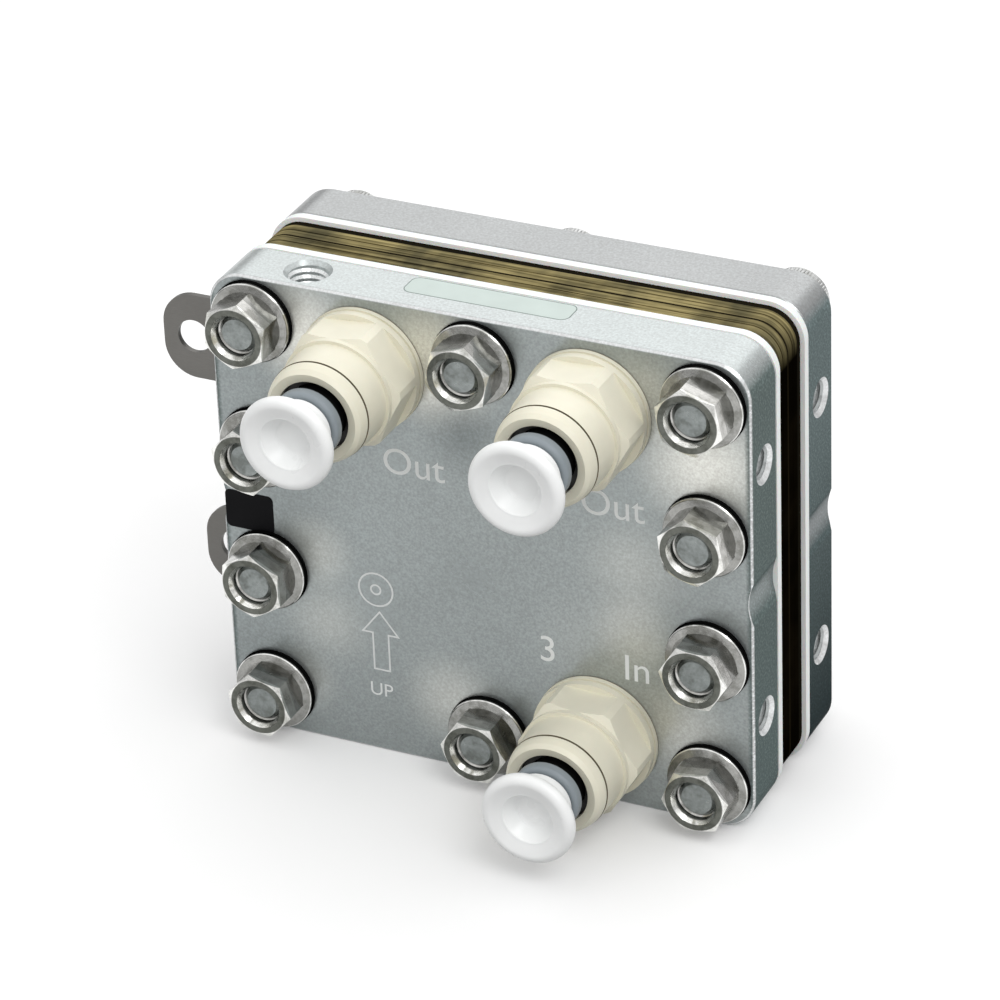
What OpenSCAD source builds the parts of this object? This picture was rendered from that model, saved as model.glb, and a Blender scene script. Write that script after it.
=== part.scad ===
// Two-cell water electrolyzer module: a stack of plates clamped between two
// end plates by ten tie bolts, with three push-in tube fittings on the front.
// Origin: centre of the front end plate's bottom face. +Z up, front towards -Y.

/* [End plates] */
// Width of both end plates and of the insulating sheets
plate_w = 120; // [108:1:150]
// Height of both end plates
plate_h = 108; // [97:1:140]
// Thickness of each end plate
plate_t = 13; // [10:0.5:18]
// Corner radius seen from the front
plate_corner_r = 8; // [6:0.5:9]
// Chamfer on the long edges of the end plates
plate_chamfer = 0.6; // [0.3:0.1:1]
// Width of the shallow scoop in each side at mid height
notch_w = 10; // [6:1:14]
// Depth of that scoop
notch_depth = 1.1; // [0.6:0.1:2]

/* [Tapped holes] */
// Tap drill of the side holes
side_hole_d = 6.8; // [5:0.1:7.5]
// Depth of the side holes
side_hole_depth = 18; // [10:1:20]
// Mouth of the countersink on the side holes
side_mouth_d = 8.6; // [8:0.1:9.6]
// Distance of the top hole from the bolt beside it
top_hole_from_bolt = 10; // [9:0.1:11]
// Tap drill of the top hole
top_hole_d = 8.5; // [7:0.1:9]
// Depth of the top hole
top_hole_depth = 14; // [8:1:16]
// Mouth of the countersink on the top hole
top_mouth_d = 10.2; // [9.5:0.1:11.4]

/* [Stack] */
// Thickness of each white insulating sheet
sheet_t = 2; // [1:0.1:3]
// Thickness of each current collector
collector_t = 1.2; // [0.8:0.1:2]
// Thickness of each end gasket
gasket_t = 0.4; // [0.2:0.1:1]
// Thickness of each flow frame
frame_t = 2.1; // [1.5:0.1:4]
// Thickness of each membrane assembly
membrane_t = 0.4; // [0.2:0.1:0.8]
// Thickness of the bipolar plate
bipolar_t = 0.6; // [0.4:0.1:1.5]
// How far the stack stands back from the end plates' outline
stack_inset = 1; // [0.5:0.1:2]
// Width of the active window
window_w = 76; // [60:1:80]
// Height of the active window
window_h = 54; // [40:1:60]
// Corner radius of the window
window_corner_r = 4; // [2:0.5:8]
// Gap between a felt and its frame
felt_gap = 0.3; // [0.1:0.05:0.5]
// Width of each feed groove in a frame
groove_w = 1.4; // [0.8:0.1:2]
// Pitch of the feed grooves
groove_pitch = 2.4; // [2.1:0.1:2.6]

/* [Terminal tabs] */
// Reach of a tab beyond the end plates
tab_reach = 19.8; // [14:0.1:26]
// Height of a tab
tab_h = 19.5; // [16:0.1:21]
// Corner radius at a tab's free end
tab_corner_r = 7.4; // [3:0.1:7.9]
// Height of the tabs above and below mid height
tab_z = 28.6; // [27:0.1:30.5]
// Hole for the cable lug
tab_hole_d = 7.6; // [5:0.1:8.5]
// Distance from the hole's centre to the tab's end
tab_hole_end = 7.1; // [6:0.1:9]

/* [Tie bolts] */
// Distance of the outer bolts from the plates' edges
bolt_edge = 10; // [9.3:0.1:11]
// Shank diameter
bolt_d = 8; // [6:0.1:8]
// How far a bolt's end stays below the face of its nut
bolt_recess = 1.8; // [0.5:0.1:3]
// Head diameter
head_d = 13; // [11:0.1:14]
// Head height
head_h = 8; // [5:0.1:9]
// Hexagon socket across flats
socket_af = 6; // [4:0.1:7]
// Hole through the plates for each bolt
bolt_hole_d = 9; // [8.9:0.1:9.4]
// Wall of the insulating sleeve on each shank
sleeve_wall = 0.35; // [0.2:0.05:0.4]
// Nut across flats
nut_af = 13; // [12:0.1:14]
// Nut height with its flange
nut_h = 8; // [6:0.1:9]
// Flange diameter of the nut
nut_flange_d = 17.9; // [16:0.1:18.5]
// Black washer diameter
washer_d = 18.2; // [17:0.1:18.4]
// Black washer thickness
washer_t = 0.8; // [0.5:0.1:1.5]

/* [Ports] */
// Distance of the ports from the top or bottom edge
port_edge = 16; // [15:0.1:17]
// Diameter of the manifold bores in the stack
manifold_d = 8; // [5:0.1:9]
// Thread diameter of the fittings
port_thread_d = 13; // [11:0.1:15]
// Length of that thread
port_thread_l = 9.5; // [6:0.5:9.5]

/* [Fittings] */
// Flange diameter of a fitting
flange_d = 27.2; // [27:0.1:28]
// Flange thickness
flange_t = 1.2; // [0.8:0.1:2]
// Diameter over the rounded strips between the wrench flats
body_d = 26.8; // [26:0.1:27]
// Distance across the wrench flats
body_af = 24; // [23.5:0.1:25]
// Where the wrench flats begin, from the plate
flats_from = 3.2; // [2.4:0.1:4]
// Where the wrench flats end, from the plate
flats_to = 11.4; // [10:0.1:12.5]
// Diameter of the body in front of the flats
barrel_d = 22.6; // [22:0.1:23.4]
// Length of the body from the plate
body_l = 20; // [19.5:0.1:22]
// Length of the end cap in front of the body
cap_l = 3.5; // [3:0.1:5]
// Outer diameter of the end cap
cap_d = 22; // [21.4:0.1:22.4]
// Diameter at the cap's outer rim
cap_rim_d = 19.5; // [18.6:0.1:20.5]
// Diameter of the recess round the collet
mouth_d = 15.8; // [15.4:0.1:16.4]
// Diameter of the tube that the fitting takes
tube_d = 10; // [8:0.1:10]
// Cord thickness of the tube seal
seal_cord = 2; // [1.4:0.1:2]

/* [Collets and plugs] */
// Outer diameter of the collet's head
collet_head_d = 14.8; // [14:0.1:15]
// Length of the collet's head
collet_head_l = 2.3; // [1.8:0.1:3]
// How far the head stands out in front of the end cap
collet_stand = 1.2; // [0.6:0.1:2]
// How far a collet can be pressed in
collet_travel = 1.5; // [0.8:0.1:1.6]
// Gap between the plug's stem and the collet
stem_gap = 0.1; // [0.05:0.01:0.1]
// Gap left between pieces that move past each other
move_gap = 0.3; // [0.2:0.05:0.35]
// Diameter of the plug's round head
plug_head_d = 20.5; // [18:0.1:24]
// Diameter of the boss behind the head
plug_boss_d = 13; // [12:0.1:16]
// Length of that boss
plug_boss_l = 4.8; // [3:0.1:7]
// Thickness of the head
plug_head_t = 3.8; // [3.5:0.1:5]
// Mouth of the recess in the head
plug_dish_d = 11; // [9:0.1:12]
// Depth of that recess
plug_dish_depth = 4.6; // [3:0.1:6]

/* [Hidden] */
$fn = 64;
// Overshoot of a cut past the face that it opens
eps = 0.1;

// Places in depth, from the front end plate's front face
front_y = -plate_t/2;
mid_z = plate_h/2;
sheet1_at = plate_t;
collector1_at = sheet1_at + sheet_t;
gasket1_at = collector1_at + collector_t;
cathode1_at = gasket1_at + gasket_t;
membrane1_at = cathode1_at + frame_t;
anode1_at = membrane1_at + membrane_t;
bipolar_at = anode1_at + frame_t;
cathode2_at = bipolar_at + bipolar_t;
membrane2_at = cathode2_at + frame_t;
anode2_at = membrane2_at + membrane_t;
gasket2_at = anode2_at + frame_t;
collector2_at = gasket2_at + gasket_t;
sheet2_at = collector2_at + collector_t;
plate2_at = sheet2_at + sheet_t;
rear_at = plate2_at + plate_t;

// Outline of the stack between the sheets
stack_w = plate_w - 2*stack_inset;
stack_h = plate_h - 2*stack_inset;
stack_corner_r = plate_corner_r - stack_inset;
// How far a tab's outline runs in over the stack's
tab_root = 5;

// The bolts' columns and rows, and what is drilled by them
bolt_x = plate_w/2 - bolt_edge;
bolt_pitch = (plate_h - 2*bolt_edge)/3;
side_hole_z = bolt_pitch;
top_hole_x = bolt_x - top_hole_from_bolt;
port_x = bolt_x/2;
port_z = plate_h/2 - port_edge;
// Bolt centres, seen from the front, from the upper left one down each column
bolt_rows = [1.5, 0.5, -0.5, -1.5];
bolt_places = concat(
  [for (r = bolt_rows) [-bolt_x, r*bolt_pitch]],
  [[0, 1.5*bolt_pitch], [0, -1.5*bolt_pitch]],
  [for (r = bolt_rows) [bolt_x, r*bolt_pitch]]
);
// How far each nut is turned, as tightened
nut_turns = [23, 45, 31, 47, 17, 57, 42, 41, 58, 8];
bolt_l = rear_at + washer_t + nut_h - bolt_recess;
bolt_gap = 0.05;
nut_bore_d = bolt_d + 2*bolt_gap;
nut_cup_d = 10.3;
nut_cup_depth = 1.1;
nut_relief_d = 8.9;
nut_relief_depth = 2.3;
nut_face_d = 12.6;
nut_flange_t = 0.7;
nut_flange_edge = 0.3;
nut_skirt_h = 1.4;
nut_skirt_d = 14.6;
bolt_end_chamfer = 0.6;
socket_depth = 4;
head_chamfer = 0.6;
sleeve_bore_d = bolt_d + 2*bolt_gap;
sleeve_end_gap = 0.5;

// Ports, seen from the front: hydrogen out, oxygen out, water in
hydrogen_port = [-port_x, port_z];
oxygen_port = [port_x, port_z];
water_port = [port_x, -port_z];
port_places = [hydrogen_port, oxygen_port, water_port];
// How far each fitting is turned, as tightened
hydrogen_turn = 4.5;
oxygen_turn = 2;
water_turn = -1.2;

// Lengths inside a fitting, from the plate outwards
thread_gap = 0.05;
thread_chamfer = 0.8;
channel_d = 7;
flange_groove = [0.3, 0.4];
strip_fall = 1;
shoulder_l = 1.2;
barrel_draft = 0.1;
socket_bore_d = tube_d + 2*move_gap;
tube_stop = 3.5;
seal_d = socket_bore_d + 2*seal_cord;
seal_from = 10;
seal_room = seal_cord + 1.25;
seal_lift = 0.2;
seal_slack = 0.05;
grip_from = seal_from + seal_room;
grip_t = 0.5;
spigot_from = grip_from + grip_t;
spigot_d = 17.9;
spigot_gap = 0.05;
groove_gap = 0.4;
groove_deep = 0.6;
collet_wall = 1;
collet_bore_d = tube_d + 2*stem_gap;
collet_d = collet_bore_d + 2*collet_wall;
barb_h = 0.7;
barb_l = 1.6;
collet_from = spigot_from + collet_travel + 1.2*move_gap;
cap_throat_d = collet_d + 2*move_gap;
cap_room_d = collet_d + 2*barb_h + 2*move_gap;
throat_from = collet_from + barb_l + move_gap;
mouth_end = body_l + cap_l;
mouth_fall = 0.6;
mouth_floor = body_l + 0.6;
collet_head_from = mouth_end + collet_stand;
collet_end = collet_head_from + collet_head_l;
plug_from = collet_end + move_gap;
face_seal_cord = 1.7;
face_seal_d = 18;
face_seal_room = 0.35;

// An outline with four round corners
module rounded_rect(w, h, r) {
  square([w - 2*r, h], center = true);
  square([w, h - 2*r], center = true);
  for (x = [-1, 1], y = [-1, 1])
    translate([x*(w/2 - r), y*(h/2 - r)]) circle(r);
}

// Stands a flat drawing up at a depth behind the front face, t thick
module layer(depth, t) {
  translate([0, front_y + depth + t, mid_z]) rotate([90, 0, 0]) linear_extrude(t) children();
}

// Stands a solid up on the front face; its +Z becomes -Y
module on_front(place) {
  translate([place[0], front_y, mid_z + place[1]]) rotate([90, 0, 0]) children();
}

module at_bolts() {
  for (p = bolt_places) translate(p) children();
}

module bolt_holes_2d() {
  at_bolts() circle(d = bolt_hole_d);
}

module manifold_holes_2d() {
  for (p = port_places) translate(p) circle(d = manifold_d);
}

// Plate with chamfered long edges, lying from z = 0 to z = t
module chamfered_plate(w, h, t, r, c) {
  across = [[-w/2, c], [c - w/2, 0], [w/2 - c, 0], [w/2, c],
            [w/2, t - c], [w/2 - c, t], [c - w/2, t], [-w/2, t - c]];
  upward = [[-h/2, c], [c - h/2, 0], [h/2 - c, 0], [h/2, c],
            [h/2, t - c], [h/2 - c, t], [c - h/2, t], [-h/2, t - c]];
  translate([0, h/2 - r, 0]) rotate([90, 0, 0]) linear_extrude(h - 2*r) polygon(across);
  translate([r - w/2, 0, 0]) rotate([90, 0, 90]) linear_extrude(w - 2*r) polygon(upward);
  for (x = [-1, 1], y = [-1, 1])
    translate([x*(w/2 - r), y*(h/2 - r), 0])
      rotate_extrude() polygon([[0, 0], [r - c, 0], [r, c], [r, t - c], [r - c, t], [0, t]]);
}

// A blind hole with a countersunk mouth, going down from z = 0
module blind_hole(d, depth, mouth) {
  sink = (mouth - d)/2;
  rotate_extrude() polygon([
    [0, eps], [mouth/2 + eps, eps], [d/2, -sink], [d/2, -depth], [0, -depth - d/4]
  ]);
}

// The block that both end plates are cut from
module end_plate_blank() {
  notch_r = (notch_w*notch_w/4 + notch_depth*notch_depth)/(2*notch_depth);
  difference() {
    chamfered_plate(plate_w, plate_h, plate_t, plate_corner_r, plate_chamfer);
    translate([0, 0, -eps]) linear_extrude(plate_t + 2*eps) bolt_holes_2d();
    for (s = [-1, 1]) {
      translate([s*(plate_w/2 + notch_r - notch_depth), 0, -eps])
        cylinder(r = notch_r, h = plate_t + 2*eps);
      for (z = [-1, 1])
        translate([s*plate_w/2, z*side_hole_z, plate_t/2]) rotate([0, s*90, 0])
          blind_hole(side_hole_d, side_hole_depth, side_mouth_d);
    }
  }
}

module front_end_plate() color([0.72, 0.75, 0.74]) {
  translate([0, front_y + plate_t, mid_z]) rotate([90, 0, 0]) difference() {
    end_plate_blank();
    for (p = port_places) translate(p) {
      translate([0, 0, -eps]) cylinder(d = manifold_d, h = plate_t + 2*eps);
      translate([0, 0, plate_t - port_thread_l - eps])
        cylinder(d = port_thread_d + 2*thread_gap, h = port_thread_l + 2*eps);
    }
    translate([-top_hole_x, plate_h/2, plate_t/2]) rotate([-90, 0, 0])
      blind_hole(top_hole_d, top_hole_depth, top_mouth_d);
  }
}

module rear_end_plate() color([0.7, 0.72, 0.73]) {
  translate([0, front_y + rear_at, mid_z]) rotate([90, 0, 0]) end_plate_blank();
}

module front_insulating_sheet() color([0.96, 0.96, 0.93]) {
  layer(sheet1_at, sheet_t) difference() {
    rounded_rect(plate_w, plate_h, plate_corner_r);
    bolt_holes_2d();
    manifold_holes_2d();
  }
}

module rear_insulating_sheet() color([0.96, 0.96, 0.93]) {
  layer(sheet2_at, sheet_t) difference() {
    rounded_rect(plate_w, plate_h, plate_corner_r);
    bolt_holes_2d();
  }
}

module stack_outline() {
  difference() {
    rounded_rect(stack_w, stack_h, stack_corner_r);
    bolt_holes_2d();
  }
}

// A terminal tab to the left, with its hole; side is 1 above and -1 below mid height
module tab_outline(side) {
  end_x = -plate_w/2 - tab_reach;
  translate([0, side*tab_z]) {
    translate([end_x + tab_corner_r, -tab_h/2])
      square([tab_reach - tab_corner_r + tab_root, tab_h]);
    translate([end_x, tab_corner_r - tab_h/2]) square([tab_corner_r, tab_h - 2*tab_corner_r]);
    for (y = [-1, 1])
      translate([end_x + tab_corner_r, y*(tab_h/2 - tab_corner_r)]) circle(tab_corner_r);
  }
}

module collector_outline(side) {
  difference() {
    union() {
      stack_outline();
      tab_outline(side);
    }
    bolt_holes_2d();
    translate([tab_hole_end - plate_w/2 - tab_reach, side*tab_z]) circle(d = tab_hole_d);
  }
}

module front_collector() color([0.42, 0.42, 0.41]) {
  layer(collector1_at, collector_t) difference() {
    collector_outline(1);
    manifold_holes_2d();
  }
}

module rear_collector() color([0.42, 0.42, 0.41]) {
  layer(collector2_at, collector_t) collector_outline(-1);
}

module front_gasket() color([0.25, 0.22, 0.14]) {
  layer(gasket1_at, gasket_t) difference() {
    stack_outline();
    manifold_holes_2d();
    rounded_rect(window_w, window_h, window_corner_r);
  }
}

module rear_gasket() color([0.25, 0.22, 0.14]) {
  layer(gasket2_at, gasket_t) difference() {
    stack_outline();
    rounded_rect(window_w, window_h, window_corner_r);
  }
}

module bipolar_plate() color([0.5, 0.5, 0.48]) {
  layer(bipolar_at, bipolar_t) difference() {
    stack_outline();
    manifold_holes_2d();
  }
}

module membrane(depth) {
  layer(depth, membrane_t) difference() {
    stack_outline();
    manifold_holes_2d();
  }
}

// Grooves that lead from one manifold bore into the window, half the frame deep
module feed_grooves(port) {
  run = port_z - window_h/2 + eps;
  up = sign(port[1]);
  for (i = [-1, 0, 1])
    translate([port[0] + i*groove_pitch - groove_w/2,
               up > 0 ? port_z - run : -port_z, frame_t/2])
      cube([groove_w, run, frame_t]);
}

// A flow frame; ports lists the bores that its window is joined to
module flow_frame(depth, ports) {
  translate([0, front_y + depth + frame_t, mid_z]) rotate([90, 0, 0]) difference() {
    linear_extrude(frame_t) difference() {
      stack_outline();
      manifold_holes_2d();
      rounded_rect(window_w, window_h, window_corner_r);
    }
    for (p = ports) feed_grooves(p);
  }
}

// A porous felt in a frame's window
module felt(depth, t) {
  layer(depth, t)
    rounded_rect(window_w - 2*felt_gap, window_h - 2*felt_gap, window_corner_r - felt_gap);
}

frame_colour = [0.55, 0.42, 0.16];
module front_cathode_frame() color(frame_colour) flow_frame(cathode1_at, [hydrogen_port]);
module front_anode_frame() color(frame_colour) flow_frame(anode1_at, [oxygen_port, water_port]);
module rear_cathode_frame() color(frame_colour) flow_frame(cathode2_at, [hydrogen_port]);
module rear_anode_frame() color(frame_colour) flow_frame(anode2_at, [oxygen_port, water_port]);
module front_cathode_felt() color([0.2, 0.2, 0.2]) felt(gasket1_at, gasket_t + frame_t);
module front_anode_felt() color([0.5, 0.5, 0.5]) felt(anode1_at, frame_t);
module rear_cathode_felt() color([0.2, 0.2, 0.2]) felt(cathode2_at, frame_t);
module rear_anode_felt() color([0.5, 0.5, 0.5]) felt(anode2_at, frame_t + gasket_t);
module front_membrane() color([0.35, 0.3, 0.2]) membrane(membrane1_at);
module rear_membrane() color([0.35, 0.3, 0.2]) membrane(membrane2_at);

// A socket head cap screw, its head's seat at z = 0 and its shank along +Z
module cap_screw() {
  difference() {
    rotate_extrude() polygon([
      [0, -head_h], [head_d/2 - head_chamfer, -head_h], [head_d/2, head_chamfer - head_h],
      [head_d/2, 0], [bolt_d/2, 0], [bolt_d/2, bolt_l - bolt_end_chamfer],
      [bolt_d/2 - bolt_end_chamfer, bolt_l], [0, bolt_l]
    ]);
    translate([0, 0, -head_h - eps])
      cylinder(d = socket_af/cos(30), h = socket_depth + eps, $fn = 6);
  }
}

module tie_bolts() color([0.5, 0.51, 0.5]) {
  for (p = bolt_places)
    translate([p[0], front_y + rear_at, mid_z + p[1]]) rotate([90, 0, 0]) cap_screw();
}

// A flange nut standing on z = 0
module flange_nut() {
  across_corners = nut_af/cos(30);
  corner_fall = (across_corners - nut_face_d)/2*tan(30);
  relief_fall = 0.3;
  difference() {
    union() {
      intersection() {
        translate([0, 0, nut_flange_t/2])
          cylinder(d = across_corners, h = nut_h - nut_flange_t/2, $fn = 6);
        rotate_extrude() polygon([
          [0, 0], [across_corners/2 + eps, 0],
          [across_corners/2 + eps, nut_h - corner_fall - eps*tan(30)],
          [nut_face_d/2, nut_h], [0, nut_h]
        ]);
      }
      rotate_extrude() polygon([
        [0, 0], [nut_flange_d/2, 0], [nut_flange_d/2, nut_flange_t],
        [nut_flange_d/2 - nut_flange_edge, nut_flange_t + nut_flange_edge],
        [nut_skirt_d/2, nut_skirt_h], [0, nut_skirt_h]
      ]);
    }
    rotate_extrude() polygon([
      [0, -eps], [nut_bore_d/2, -eps], [nut_bore_d/2, nut_h - nut_relief_depth - relief_fall],
      [nut_relief_d/2, nut_h - nut_relief_depth], [nut_relief_d/2, nut_h - nut_cup_depth],
      [nut_cup_d/2, nut_h + eps], [0, nut_h + eps]
    ]);
  }
}

module flange_nuts() color([0.75, 0.75, 0.73]) {
  for (i = [0:len(bolt_places) - 1])
    on_front(bolt_places[i]) translate([0, 0, washer_t]) rotate([0, 0, nut_turns[i]]) flange_nut();
}

module nut_washers() color([0.04, 0.04, 0.04]) {
  for (p = bolt_places) on_front(p) linear_extrude(washer_t) difference() {
    circle(d = washer_d);
    circle(d = bolt_hole_d);
  }
}

module bolt_sleeves() color([0.1, 0.1, 0.1]) {
  layer(sleeve_end_gap, rear_at - 2*sleeve_end_gap) at_bolts() difference() {
    circle(d = sleeve_bore_d + 2*sleeve_wall);
    circle(d = sleeve_bore_d);
  }
}

// The moulded body of a fitting, wrench flats turned by turn
module fitting_body(turn) {
  seal_mid = face_seal_d/2;
  seal_half = face_seal_cord/2 + face_seal_room;
  difference() {
    rotate_extrude() polygon([
      [channel_d/2, -port_thread_l], [port_thread_d/2 - thread_chamfer, -port_thread_l],
      [port_thread_d/2, thread_chamfer - port_thread_l], [port_thread_d/2, 0],
      [seal_mid - seal_half, 0], [seal_mid - seal_half, face_seal_cord],
      [seal_mid + seal_half, face_seal_cord], [seal_mid + seal_half, 0],
      [flange_d/2, 0], [flange_d/2, flange_t], [body_d/2 - flange_groove[0], flange_t],
      [body_d/2 - flange_groove[0], flange_t + flange_groove[1]],
      [body_d/2, flange_t + flange_groove[1]],
      [body_d/2, flats_to - strip_fall], [body_af/2, flats_to], [body_af/2, flats_to + shoulder_l],
      [barrel_d/2, flats_to + shoulder_l], [cap_d/2 + barrel_draft, body_l],
      [spigot_d/2 + spigot_gap, body_l],
      [spigot_d/2 + spigot_gap, grip_from], [seal_d/2, grip_from], [seal_d/2, seal_from],
      [socket_bore_d/2, seal_from], [socket_bore_d/2, tube_stop], [channel_d/2, tube_stop]
    ]);
    for (i = [0:5]) rotate([0, 0, turn + 30 + 60*i])
      translate([body_af/2, -body_d/2, flats_from])
        cube([body_d/2, body_d, flats_to + eps - flats_from]);
  }
}

// The ring that closes a fitting and holds its seal, grip ring and collet
module end_cap() {
  side_to = body_l + groove_gap + 0.8;
  belly = 0.15;
  rotate_extrude() polygon([
    [cap_room_d/2, spigot_from], [spigot_d/2, spigot_from], [spigot_d/2, body_l],
    [cap_d/2 - groove_deep, body_l], [cap_d/2 - groove_deep, body_l + groove_gap],
    [cap_d/2, body_l + groove_gap], [cap_d/2 - barrel_draft, side_to],
    [(cap_d + cap_rim_d)/4 + belly, (side_to + mouth_end)/2 + belly],
    [cap_rim_d/2, mouth_end], [mouth_d/2, mouth_end - mouth_fall], [mouth_d/2, mouth_floor],
    [cap_throat_d/2, mouth_floor], [cap_throat_d/2, throat_from], [cap_room_d/2, throat_from]
  ]);
}

// Thin steel ring whose teeth lean inwards and hold the tube
module grip_ring() {
  ring_r = spigot_d/2 - 0.1;
  tooth_root = seal_d/2 - 0.2;
  tooth_tip = tube_d/2 + 1.1*move_gap;
  tooth_fall = 0.85;
  slot_w = 0.8;
  difference() {
    rotate_extrude() polygon([
      [ring_r, grip_from], [ring_r, grip_from + grip_t],
      [tooth_root, grip_from + grip_t], [tooth_tip, grip_from + grip_t - tooth_fall],
      [tooth_tip, grip_from - tooth_fall], [tooth_root, grip_from]
    ]);
    for (i = [0:5]) rotate([0, 0, 30*i])
      translate([-tooth_root, -slot_w/2, grip_from - tooth_fall - eps])
        cube([2*tooth_root, slot_w, tooth_fall + grip_t + 2*eps]);
  }
}

// An O-ring of a mean diameter and a cord, lying with its lowest point just above a height
module o_ring(mean_d, cord, from) {
  translate([0, 0, from + cord/2]) rotate_extrude()
    translate([mean_d/2, 0]) circle(d = cord - seal_slack, $fn = 32);
}

module tube_seal() {
  o_ring(socket_bore_d + seal_cord, seal_cord, seal_from + seal_lift);
}

module face_seal() {
  o_ring(face_seal_d, face_seal_cord, 0);
}

// Points on an arc about c, from angle a to angle b
function arc(c, r, a, b, n) =
  [for (i = [0:n]) [c[0] + r*cos(a + (b - a)*i/n), c[1] + r*sin(a + (b - a)*i/n)]];

// The release collet: split sleeve, barbs inside and a head outside
module collet() {
  bore_r = collet_bore_d/2;
  barb_r = collet_d/2 + barb_h;
  head_r = collet_head_d/2;
  head_edge = 1;
  bore_edge = 0.4;
  slot_w = 1;
  slot_l = mouth_floor - collet_from - eps;
  difference() {
    rotate_extrude() polygon(concat(
      [
        [bore_r, collet_from], [collet_d/2, collet_from], [barb_r, collet_from + barb_l/2],
        [barb_r, collet_from + barb_l], [collet_d/2, collet_from + barb_l],
        [collet_d/2, collet_head_from], [head_r, collet_head_from]
      ],
      arc([head_r - head_edge, collet_end - head_edge], head_edge, 0, 90, 5),
      [[bore_r + bore_edge, collet_end], [bore_r, collet_end - bore_edge]]
    ));
    for (i = [0:3]) rotate([0, 0, 45*i])
      translate([-collet_d, -slot_w/2, collet_from - eps]) cube([2*collet_d, slot_w, slot_l]);
  }
}

// The round-headed plug that closes a fitting
module plug() {
  stem_r = tube_d/2;
  boss_r = plug_boss_d/2;
  head_r = plug_head_d/2;
  dish_r = plug_dish_d/2;
  head_from = plug_from + plug_boss_l;
  head_end = head_from + plug_head_t;
  stem_end = tube_stop + 0.5;
  rim_r = 1.6;
  edge_r = 0.6;
  neck_r = 0.8;
  lip_r = 0.35;
  dish_fall = 0.85;
  funnel_in = 1.6;
  dish_floor = head_end - plug_dish_depth;
  rotate_extrude() polygon(concat(
    [[0, stem_end], [stem_r - 1, stem_end], [stem_r, stem_end + 2], [stem_r, plug_from]],
    arc([boss_r - edge_r, plug_from + edge_r], edge_r, -90, 0, 4),
    arc([boss_r + neck_r, head_from - neck_r], neck_r, 180, 100, 4),
    arc([head_r - rim_r, head_end - rim_r], rim_r, -50, 110, 12),
    arc([dish_r + lip_r, head_end - dish_fall - lip_r], lip_r, 80, 190, 5),
    [[dish_r - funnel_in, dish_floor + neck_r]],
    arc([dish_r - funnel_in - neck_r, dish_floor + neck_r], neck_r, 0, -90, 4),
    [[0, dish_floor]]
  ));
}

body_colour = [0.9, 0.87, 0.78];
seal_colour = [0.07, 0.07, 0.07];
steel_colour = [0.7, 0.7, 0.7];
collet_colour = [0.52, 0.55, 0.58];
plug_colour = [0.98, 0.98, 0.98];

module hydrogen_fitting_body() color(body_colour) on_front(hydrogen_port) fitting_body(hydrogen_turn);
module hydrogen_face_seal() color(seal_colour) on_front(hydrogen_port) face_seal();
module hydrogen_tube_seal() color(seal_colour) on_front(hydrogen_port) tube_seal();
module hydrogen_grip_ring() color(steel_colour) on_front(hydrogen_port) grip_ring();
module hydrogen_end_cap() color(body_colour) on_front(hydrogen_port) end_cap();
module hydrogen_collet() color(collet_colour) on_front(hydrogen_port) collet();
module hydrogen_plug() color(plug_colour) on_front(hydrogen_port) plug();
module oxygen_fitting_body() color(body_colour) on_front(oxygen_port) fitting_body(oxygen_turn);
module oxygen_face_seal() color(seal_colour) on_front(oxygen_port) face_seal();
module oxygen_tube_seal() color(seal_colour) on_front(oxygen_port) tube_seal();
module oxygen_grip_ring() color(steel_colour) on_front(oxygen_port) grip_ring();
module oxygen_end_cap() color(body_colour) on_front(oxygen_port) end_cap();
module oxygen_collet() color(collet_colour) on_front(oxygen_port) collet();
module oxygen_plug() color(plug_colour) on_front(oxygen_port) plug();
module water_fitting_body() color(body_colour) on_front(water_port) fitting_body(water_turn);
module water_face_seal() color(seal_colour) on_front(water_port) face_seal();
module water_tube_seal() color(seal_colour) on_front(water_port) tube_seal();
module water_grip_ring() color(steel_colour) on_front(water_port) grip_ring();
module water_end_cap() color(body_colour) on_front(water_port) end_cap();
module water_collet() color(collet_colour) on_front(water_port) collet();
module water_plug() color(plug_colour) on_front(water_port) plug();

front_end_plate();
rear_end_plate();
front_insulating_sheet();
rear_insulating_sheet();
front_collector();
rear_collector();
front_gasket();
rear_gasket();
bipolar_plate();
front_cathode_frame();
front_cathode_felt();
front_membrane();
front_anode_felt();
front_anode_frame();
rear_cathode_frame();
rear_cathode_felt();
rear_membrane();
rear_anode_felt();
rear_anode_frame();
tie_bolts();
flange_nuts();
nut_washers();
bolt_sleeves();
hydrogen_fitting_body();
hydrogen_face_seal();
hydrogen_tube_seal();
hydrogen_grip_ring();
hydrogen_end_cap();
hydrogen_collet();
hydrogen_plug();
oxygen_fitting_body();
oxygen_face_seal();
oxygen_tube_seal();
oxygen_grip_ring();
oxygen_end_cap();
oxygen_collet();
oxygen_plug();
water_fitting_body();
water_face_seal();
water_tube_seal();
water_grip_ring();
water_end_cap();
water_collet();
water_plug();
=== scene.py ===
"""Looks of the electrolyzer cell module: finishes, small fittings, marks, light and camera."""
import math

import bpy
from mathutils import Matrix, Vector


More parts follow.
